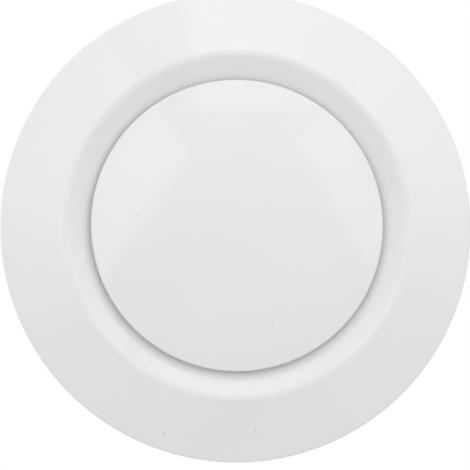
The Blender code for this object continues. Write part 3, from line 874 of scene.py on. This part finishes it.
def makeHexNut(name, low, high, crown, body, node, zinc):
    # a turned blank with chamfered ends, trimmed to a hexagon bar
    n = nuts
    flat, face = n["halfFlat"], n["halfFace"]
    wide = flat / cos(pi / 6) + n["cornerRoom"]
    drop = (wide - flat) * tan(radians(n["chamferAngle"]))
    blank = [(0, low), (face, low), (wide, low + drop), (wide, high - drop), (face, high)]
    if crown:
        edge, chamfer = n["crownRadius"], n["crownChamfer"]
        blank += [(edge, high), (edge, crown - chamfer, n["crownRounding"]), (edge - chamfer, crown)]
    top = crown or high
    blank.append((0, top))
    nut = turnedPiece(name, blank, n["blankSides"], n["roundingSteps"])
    combine(nut, hexagonBar(flat, n["barLength"], low), "INTERSECT")
    combine(nut, makeBore(low, top, n["boreMouth"]), "DIFFERENCE")
    settle(nut, body, node, zinc, n["smoothAngle"])


def makeWasher(name, low, high, radius, body, node, zinc):
    w = washers
    hole = w["holeRadius"]
    inside, lower, upper = w["roundings"]
    outline = [(hole, low, inside), (radius, low, lower), (radius, high, upper), (hole, high, inside)]
    washer = turnedPiece(name, outline, w["sides"], w["roundingSteps"])
    settle(washer, body, node, zinc)


def makeZincParts():
    zinc = makeBlotched("zincPlatedSteel")
    makeSpindle(zinc)
    for nut in nuts["list"]:
        makeHexNut(*nut, zinc)
    for washer in washers["list"]:
        makeWasher(*washer, zinc)
    print("nuts and washers done")


# lock nut, turned by hand

lockNut = {
    "radius": 9.0,
    "low": 6.221,
    "high": 12.221,
    "flutes": 12,
    "fluteDepth": 0.7,
    "fluteStep": 1.5,
    "chamfer": 0.6,
    "boreMouth": 3.9,
    "smoothAngle": 40,
}


def makeLockNut():
    # a circle whose flutes are drawn in vertex by vertex, raised to a drum with chamfered ends
    n = lockNut
    low, high, cut = n["low"], n["high"], n["chamfer"]
    sides = int(360 / n["fluteStep"])
    bpy.ops.object.select_all(action="DESELECT")
    bpy.ops.mesh.primitive_circle_add(vertices=sides, radius=n["radius"] * mm, location=(0, 0, low * mm))
    nut = startEdit("lockNut")
    pitch = 2 * pi / n["flutes"]
    for step in range(int(180 / n["flutes"] / n["fluteStep"])):
        angle = radians(step * n["fluteStep"])  # away from the middle of its flute

        def besideFlute(spot):
            return abs(abs(atan2(spot.y, spot.x) % pitch - pitch / 2) - angle) < nearAngle

        pick(nut, besideFlute)
        draw = 1 - n["fluteDepth"] * (1 + cos(n["flutes"] * angle)) / 2 / n["radius"]
        bpy.ops.transform.resize(value=(draw, draw, 1), center_override=(0, 0, low * mm))
    bpy.ops.mesh.select_all(action="SELECT")
    small = 1 - cut / n["radius"]
    bpy.ops.transform.resize(value=(small, small, 1), center_override=(0, 0, low * mm))
    for rise, grow in ((cut, 1 / small), (high - low - 2 * cut, 1), (cut, small)):
        low += rise
        bpy.ops.mesh.extrude_edges_move(TRANSFORM_OT_translate={"value": (0, 0, rise * mm)})
        bpy.ops.transform.resize(value=(grow, grow, 1), center_override=(0, 0, low * mm))
    bpy.ops.mesh.edge_face_add()
    pick(nut, lambda spot: spot.z < n["low"] + near)
    bpy.ops.mesh.edge_face_add()
    bpy.ops.mesh.select_all(action="SELECT")
    bpy.ops.mesh.normals_make_consistent(inside=False)
    bpy.ops.object.mode_set(mode="OBJECT")
    combine(nut, makeBore(n["low"], n["high"], n["boreMouth"]), "DIFFERENCE")
    settle(nut, "lock", "lock_nut", makeBlotched("greyPlastic"), n["smoothAngle"])
    print("lock nut done")


makeHousing()
makeDisc()
makeSeals()
makeFixings()
makeZincParts()
makeLockNut()


# studio: pale floor, pale room, and soft panels whose reflections show on the disc and the flange

studio = {
    "floorHeight": -1300.0,
    "floorSize": 40000.0,
    "floorColour": (0.835, 0.835, 0.83),
    "floorRoughness": 0.8,
    "seenRoom": 1.0,  # the room's white as the camera sees it
    "roomLight": 0.806,
    # each box: the corner nearest the camera and the directions of its two edges
    "leftBox": ((-106, -280, -781), (-0.42, -0.58, 0.69), (-0.377, 0.81, 0.449)),
    "rightBox": ((208, -306, -724), (0.565, -0.495, 0.66), (0.335, 0.869, 0.361)),
    "topBox": ((-113, -379, -680), (1, 0, 0), (0, -1, 0)),
    "backBox": ((-700, -900, -560), (1, 0, 0), (0, -0.25, 0.97)),
    "rearBox": ((-1250, -250, 1000), (0.61, -0.79, 0), (0.52, 0.4, 0.75)),
    "panels": [
        # name, box, start and end along the two edges, strength
        ("leftInner", "leftBox", (0, 170), (0, 460), 0.78),
        ("leftOuter", "leftBox", (170, 330), (0, 460), 0.5),
        ("leftFar", "leftBox", (330, 600), (0, 460), 0.24),
        ("leftEnd", "leftBox", (0, 600), (460, 590), 0.33),
        ("rightInner", "rightBox", (0, 120), (0, 410), 0.7),
        ("rightOuter", "rightBox", (120, 600), (0, 410), 0.55),
        ("rightEnd", "rightBox", (0, 600), (410, 520), 0.27),
        ("topEdge", "topBox", (0, 383), (0, 60), 0.58),
        ("topMiddle", "topBox", (0, 383), (60, 540), 0.7),
        ("topRight", "topBox", (383, 640), (60, 540), 0.42),
        ("backPanel", "backBox", (0, 1400), (0, 500), 0.74),
        ("rearPanel", "rearBox", (-600, 600), (-600, 600), 1.1),
    ],
}


def addPanel(name, box, across, along, strength):
    # a soft panel in its box's plane, facing the object
    corner, firstEdge, secondEdge = (Vector(part) for part in box)
    first = firstEdge.normalized()
    second = (secondEdge - first * secondEdge.dot(first)).normalized()
    middle = corner + first * sum(across) / 2 + second * sum(along) / 2
    back = first.cross(second)
    if back.dot(middle) < 0:
        back, first = -back, -first
    light = bpy.data.lights.new(name, "AREA")
    light.shape = "RECTANGLE"
    light.size = (across[1] - across[0]) * mm
    light.size_y = (along[1] - along[0]) * mm
    light.energy = strength * pi * light.size * light.size_y
    panel = bpy.data.objects.new(name, light)
    bpy.context.scene.collection.objects.link(panel)
    turned = Matrix((first, second, back)).transposed().to_4x4()
    panel.matrix_world = Matrix.Translation(middle * mm) @ turned
    panel.visible_camera = False


def makeFloor():
    s = studio
    place = (0, 0, s["floorHeight"] * mm)
    bpy.ops.object.select_all(action="DESELECT")
    bpy.ops.mesh.primitive_plane_add(size=s["floorSize"] * mm, location=place)
    floor = bpy.context.object
    floor.name = "floor"
    finish = newFinish("paleFloor", s["floorColour"], s["floorRoughness"])[0]
    floor.data.materials.append(finish)


def addBackground(world, strength):
    background = world.node_tree.nodes.new("ShaderNodeBackground")
    background.inputs["Color"].default_value = (1, 1, 1, 1)
    background.inputs["Strength"].default_value = strength
    return background.outputs["Background"]


def makeRoom():
    # the camera sees a white room, and the object is lit by a dimmer one
    world = bpy.data.worlds.new("paleRoom")
    bpy.context.scene.world = world
    world.use_nodes = True
    nodes, links = world.node_tree.nodes, world.node_tree.links
    nodes.clear()
    ray = nodes.new("ShaderNodeLightPath")
    choose = nodes.new("ShaderNodeMixShader")
    out = nodes.new("ShaderNodeOutputWorld")
    links.new(ray.outputs["Is Camera Ray"], choose.inputs["Fac"])
    links.new(addBackground(world, studio["roomLight"]), choose.inputs[1])
    links.new(addBackground(world, studio["seenRoom"]), choose.inputs[2])
    links.new(choose.outputs["Shader"], out.inputs["Surface"])


# camera: the photograph's view, almost straight up at the face

view = {
    "lens": 200.0,
    "sensor": 36.0,
    "clip": (10.0, 50000.0),
    "distance": 831.8,
    "leanAcross": -3.1,
    "leanDown": 4.7,
    "rimHeight": -1.7,
    "aimAcross": -0.456,
    "aimDown": 2.798,
}


def axesFrom(ahead):
    # the camera's right and up, with the picture's top towards -Y
    right = ahead.cross(Vector((0, -1, 0))).normalized()
    return right, right.cross(ahead)


def makeCamera():
    v = view
    rim = Vector((0, 0, v["rimHeight"]))
    away = Vector((tan(radians(v["leanAcross"])), tan(radians(v["leanDown"])), -1)).normalized()
    place = rim + away * v["distance"]
    right, up = axesFrom(-away)
    aim = rim + right * v["aimAcross"] - up * v["aimDown"]
    ahead = (aim - place).normalized()
    right, up = axesFrom(ahead)
    data = bpy.data.cameras.new("photoView")
    data.lens = v["lens"]
    data.sensor_width = v["sensor"]
    data.clip_start = v["clip"][0] * mm
    data.clip_end = v["clip"][1] * mm
    camera = bpy.data.objects.new("photoView", data)
    bpy.context.scene.collection.objects.link(camera)
    turned = Matrix((right, up, -ahead)).transposed().to_4x4()
    camera.matrix_world = Matrix.Translation(place * mm) @ turned
    bpy.context.scene.camera = camera


makeFloor()
for name, box, across, along, strength in studio["panels"]:
    addPanel(name, studio[box], across, along, strength)
makeRoom()
makeCamera()
bpy.context.scene.view_settings.view_transform = "Standard"
print("studio and camera done")
